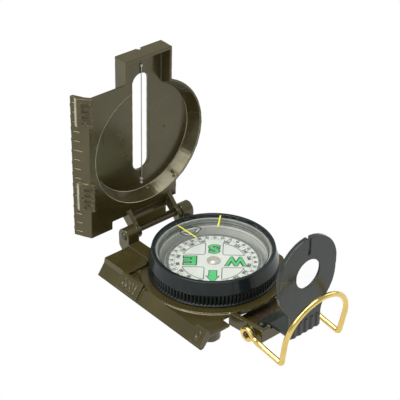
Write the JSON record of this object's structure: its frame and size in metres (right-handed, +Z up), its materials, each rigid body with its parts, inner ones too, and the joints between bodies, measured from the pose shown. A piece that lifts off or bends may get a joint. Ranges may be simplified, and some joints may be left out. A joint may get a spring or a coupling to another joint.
{
  "type": "sighting compass",
  "caption": "Folding sighting compass: liquid capsule with floating card, turning knurled bezel, hinged cover with sighting wire and map rule, folding eyepiece and thumb loop",
  "frame": {"origin": "on the axis of the bezel, in the plane of the face it rests on", "axes": "+Y runs forward from the eyepiece to the cover hinge, the sighting direction; +Z is up out of the dial; the map rule is on the -X side"},
  "size_m": [0.0578, 0.1028, 0.0831],
  "materials": {
    "painted_casting": "satin olive paint on a die casting",
    "dark_plastic": "matte",
    "steel": "bright",
    "capsule_metal": "satin silver",
    "black_rubber": "matte",
    "clear": "clear",
    "yellow_mark": "luminous yellow",
    "card": "printed white card",
    "magnet": "ground",
    "cap_plastic": "gloss",
    "jewel": "polished",
    "bezel_gloss": "gloss blue-black",
    "brass": "bright",
    "grey_plastic": "satin dark grey"
  },
  "bodies": {
    "base": {"base_frame": "painted_casting", "bottom_cover": "dark_plastic", "bottom_screws": "steel", "capsule_bowl": "capsule_metal", "capsule_gasket": "black_rubber", "capsule_window": "clear", "pivot_post": "steel", "lubber_line": "yellow_mark", "bezel_snap_ring": "steel", "hinge_pin": "painted_casting", "rear_axle": "steel", "eyepiece_spring": "steel"},
    "dial": {"dial_card": "card", "dial_magnet": "magnet", "pivot_cap": "cap_plastic", "pivot_jewel": "jewel"},
    "bezel": {"bezel_ring": "bezel_gloss", "bezel_glass": "clear", "bezel_index": "yellow_mark"},
    "cover": {"cover_shell": "painted_casting", "sighting_wire": "steel", "wire_pegs": "brass"},
    "eyepiece": {"lens_bracket": "grey_plastic", "eyepiece_lens": "clear", "lens_ring": "dark_plastic"},
    "loop": {"thumb_loop": "brass"}
  },
  "joints": [
    {"name": "dial_spin", "type": "hinge", "parent": "base", "child": "dial", "pos_m": [0, 0, 0.0113], "axis": [0, 0, 1], "continuous": true},
    {"name": "bezel_turn", "type": "hinge", "parent": "base", "child": "bezel", "pos_m": [0, 0, 0.0116], "axis": [0, 0, 1], "continuous": true},
    {"name": "cover_hinge", "type": "hinge", "parent": "base", "child": "cover", "pos_m": [0, 0.0339, 0.01135], "axis": [1, 0, 0], "range_deg": [-92, 88]},
    {"name": "eyepiece_fold", "type": "hinge", "parent": "base", "child": "eyepiece", "pos_m": [0, -0.0343, 0.0036], "axis": [1, 0, 0], "range_deg": [-87, 0]},
    {"name": "loop_swing", "type": "hinge", "parent": "base", "child": "loop", "pos_m": [0, -0.0343, 0.0036], "axis": [1, 0, 0], "range_deg": [-10, 100]}
  ]
}
